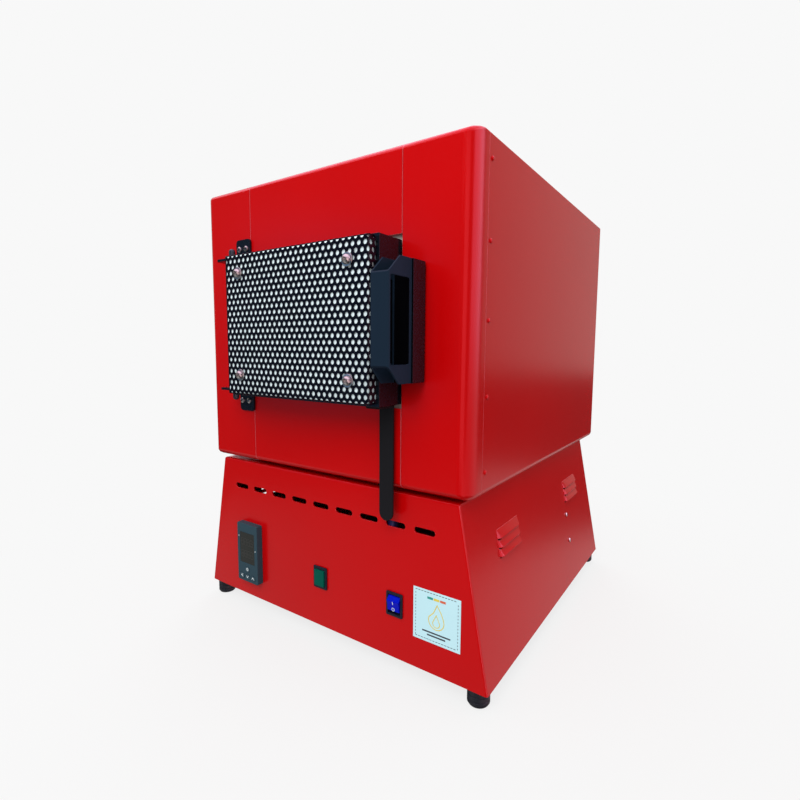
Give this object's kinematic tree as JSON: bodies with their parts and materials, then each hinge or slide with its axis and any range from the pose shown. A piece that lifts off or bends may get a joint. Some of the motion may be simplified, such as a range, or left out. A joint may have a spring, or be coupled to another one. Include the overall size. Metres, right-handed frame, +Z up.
{
  "type": "front-loading electric kiln",
  "caption": "Bench-top front-loading electric kiln: insulated box chamber with a side-hinged door on a tapered control base.",
  "frame": {"origin": "bottom centre of the bounding box, on the plane that the feet stand on", "axes": "+X to the right and -Y towards a person facing the door, +Z up"},
  "size_m": [0.5224, 0.6604, 0.6664],
  "materials": {
    "red_powder_coat": "satin",
    "satin_black": "satin",
    "guard_black": "satin",
    "strip_grey": "matte",
    "pad_white": "matte",
    "ceramic_fibre": "matte",
    "firebrick": "matte",
    "hearth_ceramic": "matte",
    "heater_wire": "matte",
    "probe_sheath": "matte",
    "bright_fastener": "satin",
    "dark_fastener": "satin",
    "zinc_sheet": "satin",
    "controller_plastic": "matte",
    "display_window": "gloss",
    "key_plastic": "matte",
    "frame_black": "satin",
    "lens_green": "gloss",
    "rocker_blue": "gloss",
    "sensor_blue": "satin",
    "sink_aluminium": "satin",
    "foot_rubber": "matte"
  },
  "bodies": {
    "root": {"base_bottom_plate": "zinc_sheet", "base_rear_panel": "red_powder_coat", "base_shell": "red_powder_coat", "brick_back": "firebrick", "brick_hearth": "firebrick", "brick_left": "firebrick", "brick_right": "firebrick", "brick_roof": "firebrick", "casing_floor": "zinc_sheet", "casing_front_left": "red_powder_coat", "casing_front_lower": "red_powder_coat", "casing_front_right": "red_powder_coat", "casing_front_upper": "red_powder_coat", "casing_rear_panel": "red_powder_coat", "casing_wrap": "red_powder_coat", "controller_body": "controller_plastic", "controller_window": "display_window", "door_sensor": "sensor_blue", "element_left": "heater_wire", "element_right": "heater_wire", "fibre_jacket": "ceramic_fibre", "foot_1": "foot_rubber", "foot_2": "foot_rubber", "foot_3": "foot_rubber", "foot_4": "foot_rubber", "hearth_plate": "hearth_ceramic", "hinge_bracket_bottom": "satin_black", "hinge_bracket_top": "satin_black", "hinge_pin_bottom": "dark_fastener", "hinge_pin_top": "dark_fastener", "indicator_frame": "frame_black", "indicator_lens": "lens_green", "mouth_face": "ceramic_fibre", "power_gland": "frame_black", "relay_heat_sink": "sink_aluminium", "rocker_frame": "frame_black", "support_rail_left": "zinc_sheet", "support_rail_right": "zinc_sheet", "terminal_cover": "red_powder_coat", "thermocouple": "probe_sheath"},
    "door": {"door_shell": "satin_black", "door_insulation": "ceramic_fibre", "door_gasket": "ceramic_fibre", "door_guard": "guard_black", "guard_pad": "pad_white", "guard_bolt_1": "bright_fastener", "guard_bolt_2": "bright_fastener", "guard_bolt_3": "bright_fastener", "guard_bolt_4": "bright_fastener", "handle_bracket": "satin_black", "handle_grip": "satin_black", "safety_strip": "strip_grey", "hinge_ear_top": "satin_black", "hinge_ear_bottom": "satin_black"},
    "rocker_cap": {"rocker": "rocker_blue"},
    "key_1": {"controller_key_1": "key_plastic"},
    "key_2": {"controller_key_2": "key_plastic"},
    "key_3": {"controller_key_3": "key_plastic"},
    "key_4": {"controller_key_4": "key_plastic"}
  },
  "joints": [
    {"name": "door_hinge", "type": "hinge", "parent": "root", "child": "door", "pos_m": [-0.143, -0.2798, 0.46], "axis": [0, 0, -1], "range_deg": [0, 120]},
    {"name": "rocker_tilt", "type": "hinge", "parent": "root", "child": "rocker_cap", "pos_m": [0.129, -0.2458, 0.096], "axis": [-1, 0, 0], "range_deg": [0, 18]},
    {"name": "key_1_press", "type": "slide", "parent": "root", "child": "key_1", "axis": [0, 1, 0], "range_m": [0, 0.0008], "stiffness_N_per_m": 800},
    {"name": "key_2_press", "type": "slide", "parent": "root", "child": "key_2", "axis": [0, 1, 0], "range_m": [0, 0.0008], "stiffness_N_per_m": 800},
    {"name": "key_3_press", "type": "slide", "parent": "root", "child": "key_3", "axis": [0, 1, 0], "range_m": [0, 0.0008], "stiffness_N_per_m": 800},
    {"name": "key_4_press", "type": "slide", "parent": "root", "child": "key_4", "axis": [0, 1, 0], "range_m": [0, 0.0008], "stiffness_N_per_m": 800}
  ]
}
